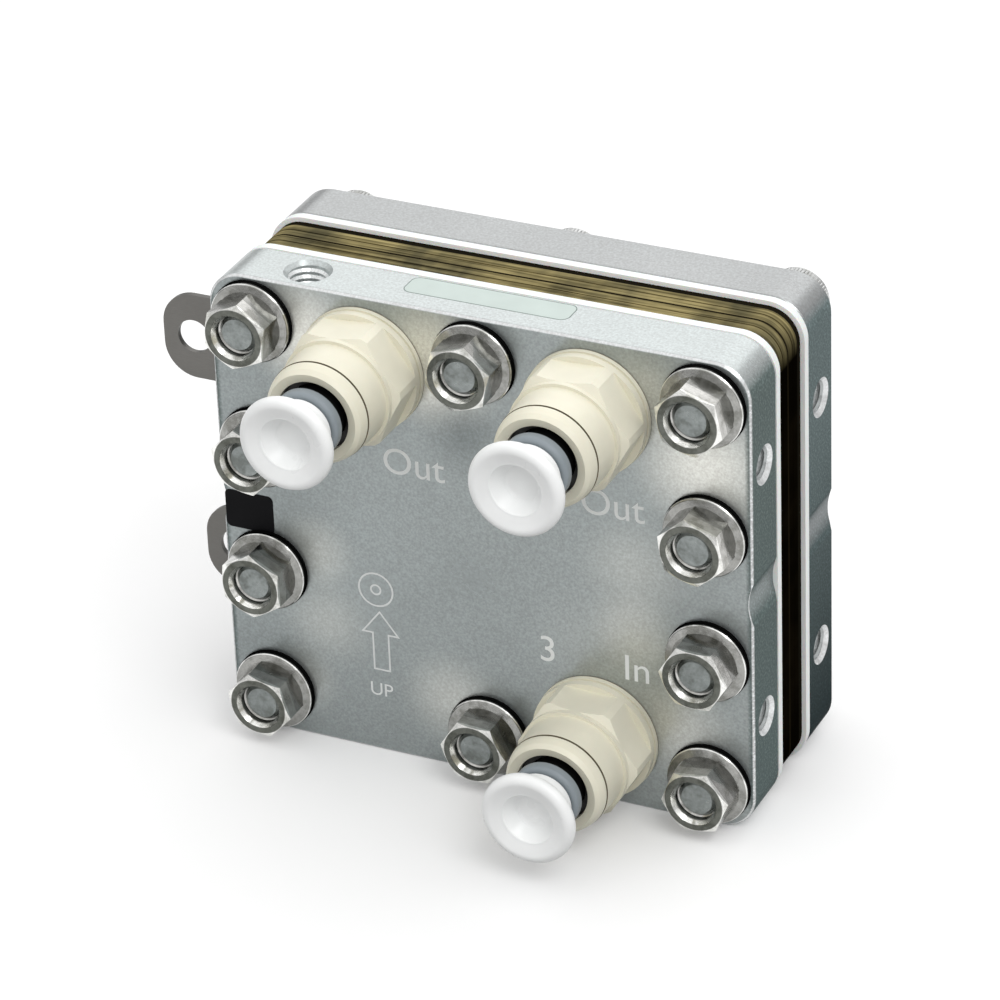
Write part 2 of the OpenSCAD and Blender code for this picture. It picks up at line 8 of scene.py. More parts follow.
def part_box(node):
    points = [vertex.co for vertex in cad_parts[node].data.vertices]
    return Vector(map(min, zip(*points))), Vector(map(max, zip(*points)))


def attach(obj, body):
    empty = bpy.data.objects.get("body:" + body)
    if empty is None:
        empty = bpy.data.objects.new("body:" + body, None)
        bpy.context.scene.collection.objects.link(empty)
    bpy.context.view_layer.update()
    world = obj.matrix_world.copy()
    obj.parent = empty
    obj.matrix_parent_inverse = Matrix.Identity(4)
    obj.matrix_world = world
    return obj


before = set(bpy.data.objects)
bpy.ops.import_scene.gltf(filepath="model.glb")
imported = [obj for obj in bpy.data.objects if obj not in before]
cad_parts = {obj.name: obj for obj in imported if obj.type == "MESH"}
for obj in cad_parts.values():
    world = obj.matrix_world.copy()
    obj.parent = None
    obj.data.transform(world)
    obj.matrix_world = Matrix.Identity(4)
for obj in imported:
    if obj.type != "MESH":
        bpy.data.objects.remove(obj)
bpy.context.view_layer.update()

MM = 0.001
MODULE = "module"
PORTS = ("hydrogen", "oxygen", "water")

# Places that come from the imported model, in metres
plate_low, plate_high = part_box("front_end_plate")
rear_low, rear_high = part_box("rear_end_plate")
washers_low, washers_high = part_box("nut_washers")
heads_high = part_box("tie_bolts")[1]
FRONT = plate_low.y
TOP = plate_high.z
SIDE = plate_high.x
MID_Z = (plate_low.z + plate_high.z)/2
MID_PLATE = (plate_low.y + plate_high.y)/2
MID_REAR = (rear_low.y + rear_high.y)/2
PLATE_T = plate_high.y - plate_low.y
NUT_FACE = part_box("flange_nuts")[0].y
NUT_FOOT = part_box("flange_nuts")[1].y
WASHER_D = 18.2*MM
BOLT_X = washers_high.x - WASHER_D/2
BOLT_TOP = washers_high.z - WASHER_D/2
BOLT_PITCH = (washers_high.z - washers_low.z - WASHER_D)/3
# The tapped hole in the top face is this far to the right of the left row of bolts
TOP_HOLE_X = -BOLT_X + 10*MM
cap_boxes = [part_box(f"{port}_end_cap") for port in PORTS]
PORT_PLACES = [((low.x + high.x)/2, (low.z + high.z)/2) for low, high in cap_boxes]
CAP_FRONT = cap_boxes[0][0].y

# Hollows of the fittings, painted dark as shade: how deep behind the cap's front the mouth turns black, from
# where to where the groove behind the cap runs, how far in front of the cap the collet's neck begins, and
# the painted shadow line round a foot
MOUTH_R, MOUTH_FALL = 7.93*MM, 2.5*MM
CAP_GROOVE_FROM, CAP_GROOVE_TO = 3.1*MM, 3.5*MM
NECK_FROM = 1.15*MM
FOOT_SHADOW_LINE = 0.22*MM
HOLLOW_BLUR = 0.03*MM
# The tapped holes in the sides, and the rim of their countersinks
SIDE_HOLE_RISE = BOLT_PITCH
SIDE_MOUTH_R = 4.36*MM
# The chamfer round the front plate's front face, and its painted highlight
CHAMFER = 0.6*MM
PAINTED_CHAMFER_HIGHLIGHT = (0.74, 0.75, 0.75)
# Painted light on the blasted front face, rising a little to the right, and soft patches of painted
# highlight
# and reflection: x and z from its middle and reach (mm), share of the tint
PAINTED_SHEEN_TINT = (0.92, 0.91, 0.84)
PAINTED_SHEEN_LEFT, PAINTED_SHEEN_RIGHT = 0.0, 0.04
PAINTED_SHEEN_SPOTS = (
    (-9, 41, 17, 1.0), (-39, 43, 16, 0.75), (50, 30, 19, 0.7), (37, 43, 12, 0.4), (34, 3, 15, 0.2),
    (-39, -8, 11, 0.35), (-37, -25, 13, 0.2), (-43, -40, 10, 0.25), (-8, -38, 14, 0.35),
    (43, -33, 15, 0.4), (34, -12, 12, 0.3), (28, -18, 22, 0.08),
)
# Soft darker patches of painted shade on the same face, given in the same way
PAINTED_SHADE_TINT = (0.16, 0.18, 0.18)
PAINTED_SHADE_SPOTS = ((-3, 27, 13, 0.65), (-44, -5, 16, 0.3), (-52, -36, 14, 0.3))
# How metallic the blasted faces and the milled sides are, and how far down the rounded top corners the
# painted light of the tops reaches
FACE_METAL, SIDE_METAL = 0.75, 0.08
ROUNDED_H = 9.0*MM
# How far in from a side face its milled finish and painted shade begin and are full, and the share of the
# height that the foot's darker painted shade reaches
SIDE_FROM, SIDE_FULL = 1.6*MM, 0.4*MM
FOOT_SHARE = 0.75
# The nuts' tints of painted light and shade from one depth to another (mm behind their front faces), how
# softly they end, and the tints that stains multiply them by
NUT_LIGHT_AND_SHADE_BANDS = (
    (0.10, 0.9, (0.85, 0.85, 0.82)), (3.6, 7.1, (0.33, 0.33, 0.315)), (7.16, 7.3, (0.80, 0.80, 0.78)),
    (-0.1, 0.0, (0.13, 0.135, 0.12)), (7.38, 8.0, (0.035, 0.035, 0.033)),
)
BAND_BLUR = 0.08*MM
STAIN_BAND = ((0.38, (0.72, 0.72, 0.70)), (0.5, (0.97,)*3), (0.64, (1.12,)*3))
# The depths under the plates' top at which the painted light in the amber begins and is full
AMBER_LIT_FROM, AMBER_LIT_FULL = 10*MM, 3.5*MM
# The depths under the top and the right side at which the painted shade on a metal sheet's cut edge begins
# and is full
PAINTED_EDGE_SHADE_FROM, PAINTED_EDGE_SHADE_FULL = 4*MM, 3*MM
# Most of a noise's values lie between these two
NOISE_LOW, NOISE_HIGH = 0.3, 0.7


# Materials
def mapped(tree, source, values, interpolation="LINEAR"):
    """Map a source's range, the first two values, to the range of the last two."""
    made = tree.nodes.new("ShaderNodeMapRange")
    made.interpolation_type = interpolation
    for socket, value in zip(made.inputs[1:5], values):
        socket.default_value = value
    tree.links.new(source, made.inputs[0])
    return made


class Finish:
    """A node material built up step by step round one Principled shader."""

    def __init__(self, name):
        self.material = bpy.data.materials.new(name)
        self.material.use_nodes = True
        self.tree = self.material.node_tree
        self.tree.nodes.clear()
        self.shader = self.node("ShaderNodeBsdfPrincipled")
        out = self.node("ShaderNodeOutputMaterial")
        self.join(self.shader.outputs[0], out.inputs[0])
        self.place = self.node("ShaderNodeTexCoord").outputs["Object"]
        self.last_normal = None

    def node(self, kind, **values):
        made = self.tree.nodes.new(kind)
        for key, value in values.items():
            setattr(made, key, value)
        return made

    def join(self, source, target):
        self.tree.links.new(source, target)

    def set(self, **values):
        for key, value in values.items():
            self.shader.inputs[key.replace("_", " ")].default_value = value
        return self

    def scaled(self, scale):
        """Object coordinates stretched by three factors."""
        mapping = self.node("ShaderNodeMapping")
        mapping.inputs["Scale"].default_value = scale
        self.join(self.place, mapping.inputs["Vector"])
        return mapping.outputs[0]

    def noise(self, scale, detail=3.0, rough=0.5, stretch=(1, 1, 1)):
        made = self.node("ShaderNodeTexNoise")
        made.inputs["Scale"].default_value = scale
        made.inputs["Detail"].default_value = detail
        made.inputs["Roughness"].default_value = rough
        self.join(self.scaled(stretch), made.inputs["Vector"])
        return made.outputs["Fac"]

    def ramp(self, source, stops):
        made = self.node("ShaderNodeValToRGB")
        band = made.color_ramp
        while len(band.elements) > len(stops):
            band.elements.remove(band.elements[-1])
        while len(band.elements) < len(stops):
            band.elements.new(1.0)
        for element, (at, colour) in zip(band.elements, stops):
            element.position = at
            element.color = (*colour, 1.0)
        self.join(source, made.inputs[0])
        return made.outputs[0]

    def span(self, source, low, high, to_low, to_high, interpolation="LINEAR"):
        return mapped(self.tree, source, (low, high, to_low, to_high), interpolation).outputs[0]

    def band(self, source, low, high, blur):
        """1 from low to high, falling to 0 within a blur outside them."""
        return self.maths("MULTIPLY", self.span(source, low - blur, low, 0.0, 1.0),
                          self.span(source, high, high + blur, 1.0, 0.0))

    def mix(self, share, first, second, blend="MIX"):
        made = self.node("ShaderNodeMix", data_type="RGBA", blend_type=blend)
        for socket, value in ((made.inputs[0], share), (made.inputs[6], first), (made.inputs[7], second)):
            if isinstance(value, bpy.types.NodeSocket):
                self.join(value, socket)
            elif isinstance(value, (int, float)):
                socket.default_value = value
            else:
                socket.default_value = (*value, 1.0)
        return made.outputs[2]

    def spread(self, noise, to_low, to_high):
        """Spread a noise's usual values over a new range."""
        return self.span(noise, NOISE_LOW, NOISE_HIGH, to_low, to_high)

    def tones(self, noise, *tones):
        """Tones set evenly over a noise's usual values, from its low to its high ones."""
        step = (NOISE_HIGH - NOISE_LOW)/(len(tones) - 1)
        return self.ramp(noise, [(NOISE_LOW + i*step, tone) for i, tone in enumerate(tones)])

    def shaded(self, ground, shades):
        """A ground colour multiplied by shades."""
        return self.mix(1.0, ground, shades, "MULTIPLY")

    def maths(self, operation, first, second=0.0):
        made = self.node("ShaderNodeMath", operation=operation)
        for socket, value in ((made.inputs[0], first), (made.inputs[1], second)):
            if isinstance(value, bpy.types.NodeSocket):
                self.join(value, socket)
            else:
                socket.default_value = value
        return made.outputs[0]

    def axis(self, letter):
        made = self.node("ShaderNodeSeparateXYZ")
        self.join(self.place, made.inputs[0])
        return made.outputs["XYZ".index(letter)]

    def distance(self, source, centre):
        away = self.node("ShaderNodeVectorMath", operation="DISTANCE")
        self.join(source, away.inputs[0])
        away.inputs[1].default_value = centre
        return away.outputs["Value"]

    def near_axis(self, scale, centre, reach, blur=0.03*MM):
        """1 within reach of a line through a centre, 0 outside it."""
        return self.span(self.distance(self.scaled(scale), centre), reach, reach + blur, 1.0, 0.0)

    def round_ports(self, reach):
        """1 within reach of one of the three fittings' axes, 0 elsewhere."""
        total = 0.0
        for x, z in PORT_PLACES:
            total = self.maths("MAXIMUM", self.near_axis((1, 0, 1), (x, 0, z), reach), total)
        return total

    def in_bore(self, depth, height):
        """1 inside a countersunk bore along X, 0 outside it."""
        return self.near_axis((0, 1, 1), (0, depth, height), SIDE_MOUTH_R)

    def patches(self, total, spots):
        """A share plus soft round patches of the front face, each given by its place, reach and gain."""
        for x, z, reach, gain in spots:
            away = self.distance(self.place, (x*MM, FRONT, MID_Z + z*MM))
            total = self.maths("ADD", total, self.span(away, 0.0, reach*MM, gain, 0.0, "SMOOTHSTEP"))
        return total

    def painted_sheen(self, tint):
        """A tint with painted light and painted shade in soft round patches of the front face."""
        # Painted light: a rise to the right and soft patches; then patches of painted shade
        light = self.patches(self.span(self.axis("X"), -SIDE, SIDE, PAINTED_SHEEN_LEFT, PAINTED_SHEEN_RIGHT), PAINTED_SHEEN_SPOTS)
        dull = self.patches(0.0, PAINTED_SHADE_SPOTS)
        on_face = self.span(self.axis("Y"), FRONT, FRONT + 0.3*MM, 1.0, 0.0)
        ground = self.mix(self.maths("MULTIPLY", light, on_face), tint, PAINTED_SHEEN_TINT)
        return self.mix(self.maths("MULTIPLY", dull, on_face), ground, PAINTED_SHADE_TINT)

    def colour(self, source):
        self.join(source, self.shader.inputs["Base Color"])
        return self

    def rough(self, source):
        self.join(source, self.shader.inputs["Roughness"])
        return self

    def bump(self, source, depth, strength=1.0):
        made = self.node("ShaderNodeBump")
        made.inputs["Strength"].default_value = strength
        made.inputs["Distance"].default_value = depth
        self.join(source, made.inputs["Height"])
        if self.last_normal is not None:
            self.join(self.last_normal, made.inputs["Normal"])
        self.last_normal = made.outputs[0]
        self.join(self.last_normal, self.shader.inputs["Normal"])
        return self


def blasted_aluminium(name, back, tint, painted_top_light, painted_side_shade, painted_foot_shade):
    """Bead-blasted aluminium: fine sparkle on a cloudy ground, painted shade on the sides, painted light on
    tops and chamfers.
    """
    middle = back - PLATE_T/2
    f = Finish(name).set(Specular_IOR_Level=0.0)
    grain = f.noise(1900, detail=2, rough=0.6)
    cloud = f.noise(30, detail=4, rough=0.62)
    outward = f.maths("ABSOLUTE", f.axis("X"))
    side = f.span(outward, SIDE - SIDE_FROM, SIDE - SIDE_FULL, 0.0, 1.0)
    # Painted shade on the milled sides, darker towards the foot
    painted_flank_shade = f.mix(f.span(f.axis("Z"), 0.0, TOP*FOOT_SHARE, 1.0, 0.0), painted_side_shade, painted_foot_shade)
    # The countersinks of the side holes take the chamfer's painted highlight instead of the sides' painted
    # shade
    mouths = f.maths("MAXIMUM", f.in_bore(middle, MID_Z - SIDE_HOLE_RISE),
                     f.in_bore(middle, MID_Z + SIDE_HOLE_RISE))
    cut = f.maths("MULTIPLY", mouths, f.span(outward, SIDE - 0.05*MM, SIDE - 0.02*MM, 1.0, 0.0))
    side = f.maths("SUBTRACT", side, cut)
    f.join(f.span(side, 0.0, 1.0, FACE_METAL, SIDE_METAL), f.shader.inputs["Metallic"])
    behind_face = f.span(f.axis("Y"), FRONT + CHAMFER*0.05, FRONT + CHAMFER*0.3, 0.0, 1.0)
    before_back = f.span(f.axis("Y"), back - 0.2*MM, back - 0.1*MM, 1.0, 0.0)
    round_edge = f.maths("MULTIPLY", behind_face, before_back)
    # Painted light on the tops, reaching down the rounded top corners
    high = f.span(f.axis("Z"), TOP - ROUNDED_H, TOP - ROUNDED_H/3, 0.0, 1.0)
    painted_top_share = f.maths("MULTIPLY", high, round_edge)
    ground = f.mix(side, f.mix(painted_top_share, f.painted_sheen(tint), painted_top_light), painted_flank_shade)
    # Painted highlight on the front chamfer and the countersinks
    before_side = f.span(f.axis("Y"), FRONT + CHAMFER*0.7, FRONT + CHAMFER, 1.0, 0.0)
    edge = f.maths("MULTIPLY", behind_face, before_side)
    ground = f.mix(f.maths("MAXIMUM", edge, cut), ground, PAINTED_CHAMFER_HIGHLIGHT)
    cloudy = f.shaded(ground, f.tones(cloud, (0.92,)*3, (1.06,)*3))
    fine = f.tones(grain, (0.88, 0.87, 0.87), (1.0,)*3, (1.14, 1.15, 1.16))
    strong = f.tones(grain, (0.80,)*3, (0.97,)*3, (1.45, 1.46, 1.48))
    f.colour(f.shaded(cloudy, f.mix(side, fine, strong)))
    f.rough(f.spread(cloud, 0.26, 0.34))
    return f.bump(grain, 0.03*MM, strength=0.5)


def milky_sheet(name):
    """Milky white sheet plastic that a little light goes into."""
    f = Finish(name).set(Subsurface_Weight=0.15, Subsurface_Scale=3*MM)
    cloud = f.noise(90)
    f.colour(f.tones(cloud, (0.89, 0.90, 0.88), (0.95, 0.95, 0.94)))
    f.rough(f.spread(cloud, 0.35, 0.45))
    return f.bump(f.noise(700, detail=2), 0.02*MM, strength=0.4)


def amber_core(name, light, dark, streak_pitch=0.9*MM):
    """Clear amber plastic: painted light near the top edge in fine layers, the rest stays deep."""
    f = Finish(name).set(Specular_IOR_Level=0.0)
    layers = f.noise(1.0/streak_pitch, rough=0.6, stretch=(0.035, 1.0, 0.035))
    cloud = f.noise(75, rough=0.6, stretch=(1.0, 0.6, 1.0))
    # Painted light near the top: lit layers there, the deep colour below
    high = f.span(f.axis("Z"), TOP - AMBER_LIT_FROM, TOP - AMBER_LIT_FULL, 0.0, 1.0)
    deep = f.mix(f.span(cloud, 0.45, 0.75, 0.0, 1.0), [c*0.6 for c in dark], [c*1.8 for c in dark])
    painted_lit_layers = f.mix(f.span(layers, 0.36, 0.64, 0.0, 1.0), [c*0.30 for c in light], light)
    patches = f.ramp(cloud, [(0.36, (0.42, 0.43, 0.46)), (0.6, (1.15, 1.1, 1.0))])
    f.colour(f.mix(high, deep, f.shaded(painted_lit_layers, patches)))
    f.rough(f.spread(layers, 0.4, 0.6))
    return f.bump(layers, 0.04*MM, strength=0.5)


def rolled_metal(name, tint, rough, metal=1.0, along=(1.0, 1.0, 14.0), edge=None):
    """Sheet metal with fine rolling lines, and where asked with cut edges inside the stack painted dark as
    shade.
    """
    f = Finish(name).set(Metallic=metal)
    lines = f.noise(900, rough=0.6, stretch=along)
    ground = f.tones(f.noise(60), [c*0.88 for c in tint], tint)
    if edge:
        # Cut edges near the top and the right side are painted dark as shade, without metal or gloss
        high = f.span(f.axis("Z"), TOP - PAINTED_EDGE_SHADE_FROM, TOP - PAINTED_EDGE_SHADE_FULL, 0.0, 1.0)
        right = f.span(f.axis("X"), SIDE - PAINTED_EDGE_SHADE_FROM, SIDE - PAINTED_EDGE_SHADE_FULL, 0.0, 1.0)
        cut = f.maths("MAXIMUM", high, right)
        ground = f.mix(cut, ground, edge)
        f.join(f.maths("SUBTRACT", 1.0, cut), f.shader.inputs["Metallic"])
        f.set(Specular_IOR_Level=0.0)
    f.colour(f.shaded(ground, f.tones(lines, (0.88,)*3, (1.1,)*3)))
    f.rough(f.spread(lines, rough - 0.06, rough + 0.08))
    return f.bump(lines, 0.01*MM, strength=0.4)


def turned_steel(name, ground, rough, light_and_shade_bands=(), pits=0.12*MM):
    """Stainless steel with fine tool marks, and tints of painted light and shade from one depth to another.
    """
    f = Finish(name).set(Metallic=1.0)
    marks = f.noise(1500, rough=0.6, stretch=(1.0, 6.0, 1.0))
    stain = f.noise(330, rough=0.6)
    # Painted light and painted shade at set depths
    for low, high, band_tint in light_and_shade_bands:
        ground = f.mix(f.band(f.axis("Y"), low, high, BAND_BLUR), ground, band_tint)
    stained = f.shaded(ground, f.ramp(stain, STAIN_BAND))
    f.colour(f.shaded(stained, f.tones(marks, (0.86,)*3, (1.1,)*3)))
    f.rough(f.spread(stain, rough + 0.08, rough - 0.06))
    f.bump(stain, pits, strength=0.5)
    return f.bump(marks, 0.01*MM, strength=0.25)


def moulded(name, tint, rough, grain=900, deep=0.02*MM, glow=0.0, hollows=()):
    """Moulded plastic with a faint cloud in its colour, a fine skin and painted shade in its deep hollows.
    """
    f = Finish(name).set(Subsurface_Weight=glow, Subsurface_Scale=2*MM, IOR=1.49)
    cloud = f.noise(120, rough=0.55)
    ground = f.tones(cloud, [c*0.955 for c in tint], [min(c*1.02, 1) for c in tint])
    # Hollows are painted dark as shade
    for near, far, reach, painted_shade in hollows:
        deep_in = f.band(f.axis("Y"), near, far, HOLLOW_BLUR)
        if reach:
            deep_in = f.maths("MULTIPLY", deep_in, f.round_ports(reach))
        ground = f.mix(deep_in, ground, painted_shade)
    f.colour(ground)
    f.rough(f.spread(cloud, rough + 0.05, rough - 0.04))
    return f.bump(f.noise(grain, detail=2, rough=0.6), deep, strength=0.35)


def felt_fibre(name, tint):
    """Porous felt: fine fibres that cross a darker ground."""
    f = Finish(name)
    fibre = f.noise(1800, detail=4, rough=0.7, stretch=(1, 1, 3))
    f.colour(f.ramp(fibre, [(0.35, [c*0.5 for c in tint]), (0.65, tint)])).set(Roughness=0.9)
    return f.bump(fibre, 0.1*MM)


plate_metal = blasted_aluminium(
    "bead_blasted_aluminium", plate_high.y, tint=(0.315, 0.345, 0.345), painted_top_light=(0.55, 0.585, 0.58),
    painted_side_shade=(0.135, 0.17, 0.163), painted_foot_shade=(0.115, 0.15, 0.147))
rear_metal = blasted_aluminium(
    "bead_blasted_aluminium_rear", rear_high.y, tint=(0.30, 0.31, 0.315), painted_top_light=(0.42, 0.43, 0.43),
    painted_side_shade=(0.15, 0.19, 0.19), painted_foot_shade=(0.01, 0.02, 0.022))
sheet_white = milky_sheet("milky_white_plastic")
titanium = rolled_metal("titanium_sheet", (0.175, 0.17, 0.16), rough=0.42, edge=(0.012, 0.010, 0.006))
bipolar_metal = rolled_metal("titanium_divider", (0.20, 0.18, 0.13), rough=0.4,
                             edge=(0.014, 0.011, 0.006))
amber = amber_core("clear_amber_plastic", (0.34, 0.295, 0.15), (0.004, 0.003, 0.0015))
film = amber_core("brown_membrane_film", (0.10, 0.08, 0.035), (0.003, 0.002, 0.001))
dark_rubber = moulded("dark_gasket_rubber", (0.010, 0.009, 0.007), rough=0.6, grain=1200, deep=0.03*MM)
seal_rubber = moulded("black_seal_rubber", (0.02, 0.02, 0.02), rough=0.45, grain=1200)
# The nuts and the bolt ends carry painted light and shade at set depths
bright_steel = turned_steel("bright_stainless_steel", (0.50, 0.495, 0.475), rough=0.2, light_and_shade_bands=[
    (NUT_FACE + low*MM, NUT_FACE + high*MM, band_tint) for low, high, band_tint in NUT_LIGHT_AND_SHADE_BANDS])
screw_steel = turned_steel("plain_stainless_steel", (0.56, 0.565, 0.56), rough=0.32, light_and_shade_bands=(
    (NUT_FACE, NUT_FOOT, (0.24, 0.26, 0.255)),), pits=0.02*MM)
spring_steel = turned_steel("grip_ring_steel", (0.6, 0.6, 0.6), rough=0.25)
washer_black = moulded("black_washer_plastic", (0.004, 0.004, 0.004), rough=0.6, deep=0.03*MM)
# The mouths, cap grooves and feet of the fittings and the collets' necks are painted dark as shade
cream = moulded("cream_moulded_plastic", (0.795, 0.765, 0.625), rough=0.42, glow=0.02, hollows=(
    (CAP_FRONT + MOUTH_FALL, FRONT, MOUTH_R, (0.006, 0.005, 0.004)),
    (CAP_FRONT + CAP_GROOVE_FROM, CAP_FRONT + CAP_GROOVE_TO, 0, (0.20, 0.17, 0.11)),
    (FRONT - FOOT_SHADOW_LINE, FRONT, 0, (0.22, 0.19, 0.13))))
slate = moulded("slate_grey_plastic", (0.25, 0.285, 0.31), rough=0.38, hollows=(
    (CAP_FRONT - NECK_FROM, FRONT, 0, (0.004, 0.004, 0.004)),))
gloss_white = moulded("glossy_white_plastic", (0.93, 0.94, 0.935), rough=0.3, grain=700, deep=0.01*MM)
for dull in (dark_rubber, washer_black):
    dull.set(Specular_IOR_Level=0.0)
carbon = felt_fibre("carbon_felt_fibre", (0.05, 0.05, 0.05))
metal_felt = felt_fibre("titanium_felt_fibre", (0.35, 0.35, 0.34))
mint = moulded("mint_label_film", (0.53, 0.61, 0.575), rough=0.32, grain=500, deep=0.01*MM)
label_edge = moulded("label_edge_line", (0.16, 0.21, 0.19), rough=0.45, grain=700, deep=0.01*MM)
sticker_black = moulded("black_sticker_film", (0.004, 0.004, 0.005), rough=0.6, grain=500, deep=0.01*MM)
sticker_black.set(Specular_IOR_Level=0.1)
etched = moulded("etched_light_mark", (0.84, 0.86, 0.85), rough=0.55, grain=1600)
# Lit and shaded copies of one thread finish: painted light in the top hole, painted shade in the side holes
lit_thread_metal = rolled_metal("lit_thread_aluminium", (0.90, 0.92, 0.92), rough=0.30, metal=0.6,
                            along=(1.0, 1.0, 1.0))
shaded_thread = rolled_metal("shaded_thread_aluminium", (0.42, 0.44, 0.44), rough=0.30, metal=0.8,
                             along=(1.0, 1.0, 1.0))

FINISHES = {
    "front_end_plate": plate_metal, "rear_end_plate": rear_metal,
    "front_insulating_sheet": sheet_white, "rear_insulating_sheet": sheet_white,
    "front_collector": titanium, "rear_collector": titanium, "bipolar_plate": bipolar_metal,
    "front_gasket": dark_rubber, "rear_gasket": dark_rubber,
    "front_cathode_frame": amber, "front_anode_frame": amber,
    "rear_cathode_frame": amber, "rear_anode_frame": amber,
    "front_membrane": film, "rear_membrane": film,
    "front_cathode_felt": carbon, "rear_cathode_felt": carbon,
    "front_anode_felt": metal_felt, "rear_anode_felt": metal_felt,
    "tie_bolts": screw_steel, "flange_nuts": bright_steel,
    "nut_washers": washer_black, "bolt_sleeves": washer_black,
}
FITTING_FINISHES = {
    "fitting_body": cream, "end_cap": cream, "collet": slate, "plug": gloss_white,
    "face_seal": seal_rubber, "tube_seal": seal_rubber, "grip_ring": spring_steel,
}
for port in PORTS:
    for part, finish in FITTING_FINISHES.items():
        FINISHES[f"{port}_{part}"] = finish
for node, finish in FINISHES.items():
    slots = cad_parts[node].data.materials
    slots.clear()
    slots.append(finish.material)


# Small pieces
def selected_only(obj):
    bpy.ops.object.select_all(action="DESELECT")
    obj.select_set(True)
    bpy.context.view_layer.objects.active = obj


def in_edit(obj, *steps):
    """Run edit-mode operators on the whole mesh of one object."""
    selected_only(obj)
    bpy.ops.object.mode_set(mode="EDIT")
    bpy.ops.mesh.select_all(action="SELECT")
    for operator, values in steps:
        operator(**values)
    bpy.ops.object.mode_set(mode="OBJECT")


def with_modifier(obj, kind, **values):
    selected_only(obj)
    modifier = obj.modifiers.new(kind.lower(), kind)
    for key, value in values.items():
        setattr(modifier, key, value)
    bpy.ops.object.modifier_apply(modifier=modifier.name)


def settle(obj):
    """Move an object's place into its mesh, so the object sits at the origin."""
    selected_only(obj)
    bpy.ops.object.transform_apply(location=True, rotation=True, scale=True)
    in_edit(obj, (bpy.ops.mesh.normals_make_consistent, {"inside": False}))


def finish_piece(obj, name, finish):
    settle(obj)
    obj.name = name
    obj.data.materials.clear()
    obj.data.materials.append(finish.material)
    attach(obj, MODULE)


def copy_of(obj):
    made = obj.copy()
    made.data = obj.data.copy()
    bpy.context.scene.collection.objects.link(made)
    return made


# Threads cut in the tapped holes: ridge height over pitch and ridge width over pitch
RIDGE_SHARE = 0.36
RIDGE_WIDTH = 0.8
RIDGE_SINK = 0.05*MM
SIDE_THREAD = {"bore": 3.4*MM, "pitch": 1.25*MM, "length": 15.0*MM}
TOP_THREAD = {"bore": 4.25*MM, "pitch": 1.5*MM, "length": 11.0*MM}
THREAD_START = 1.0*MM
THREAD_STEPS = 32


def helical_ridge(bore, pitch, length):
    """A helical ridge on the wall of a bore that runs from z = 0 up, with closed ends."""
    bpy.ops.mesh.primitive_circle_add(vertices=3, radius=1.0, fill_type="NOTHING")
    ridge = bpy.context.object
    # The triangle's tip, at +Y, is turned to point at the axis; it is sqrt(3) wide and 1.5 high at first
    ridge.rotation_euler = (math.pi/2, -math.pi/2, 0)
    ridge.scale = (RIDGE_WIDTH*pitch/math.sqrt(3), RIDGE_SHARE*pitch/1.5, 1.0)
    selected_only(ridge)
    bpy.ops.object.transform_apply(location=False, rotation=True, scale=True)
    foot = max(corner.co.x for corner in ridge.data.vertices)
    ridge.location.x = bore + RIDGE_SINK - foot
    bpy.ops.object.transform_apply(location=True, rotation=False, scale=False)
    with_modifier(ridge, "SCREW", axis="Z", screw_offset=pitch, iterations=int(length/pitch),
                  steps=THREAD_STEPS, render_steps=THREAD_STEPS, use_smooth_shade=False)
    in_edit(ridge, (bpy.ops.mesh.fill_holes, {"sides": 3}))
    return ridge


def side_threads():
    """Threads in the tapped holes of both plates' left and right sides."""
    first = helical_ridge(**SIDE_THREAD)
    places = [(side, depth, MID_Z + row*SIDE_HOLE_RISE)
              for side in (1, -1) for depth in (MID_PLATE, MID_REAR) for row in (1, -1)]
    for number, (side, depth, height) in enumerate(places, 1):
        piece = copy_of(first)
        piece.rotation_euler = (0, -side*math.pi/2, 0)
        piece.location = (side*(SIDE - THREAD_START), depth, height)
        finish_piece(piece, f"side_thread_{number}", shaded_thread)
    bpy.data.objects.remove(first)


def top_thread():
    piece = helical_ridge(**TOP_THREAD)
    piece.rotation_euler = (math.pi, 0, 0)
    piece.location = (TOP_HOLE_X, MID_PLATE, TOP - THREAD_START)
    finish_piece(piece, "top_thread", lit_thread_metal)


# The knurled band of a screw head
HEAD_R = 6.5*MM
KNURL_START, KNURL_END = 1.0*MM, 6.6*MM
KNURL_TEETH = 56
KNURL_PROUD = 0.16*MM
# A tooth is a square bar: its radius, how deep its middle lies under the head's round, and its bevel
TOOTH_R, TOOTH_SINK, TOOTH_BEVEL = KNURL_PROUD*1.6, KNURL_PROUD*0.5, KNURL_PROUD*0.3


def knurl_ring():
    """A ring of fine straight teeth round a screw head that stands along Y."""
    bpy.ops.mesh.primitive_cylinder_add(
        vertices=4, radius=TOOTH_R, depth=KNURL_END - KNURL_START,
        rotation=(math.pi/2, 0, 0), location=(0, 0, HEAD_R - TOOTH_SINK))
    tooth = bpy.context.object
    settle(tooth)
    in_edit(tooth,
            (bpy.ops.mesh.bevel, {"offset": TOOTH_BEVEL, "segments": 1}),
            (bpy.ops.mesh.select_all, {"action": "SELECT"}),
            (bpy.ops.mesh.spin, {"steps": KNURL_TEETH, "dupli": True, "angle": 2*math.pi,
                                 "center": (0, 0, 0), "axis": (0, 1, 0)}),
            (bpy.ops.mesh.select_all, {"action": "SELECT"}),
            (bpy.ops.mesh.remove_doubles, {"threshold": 0.001*MM}))
    return tooth


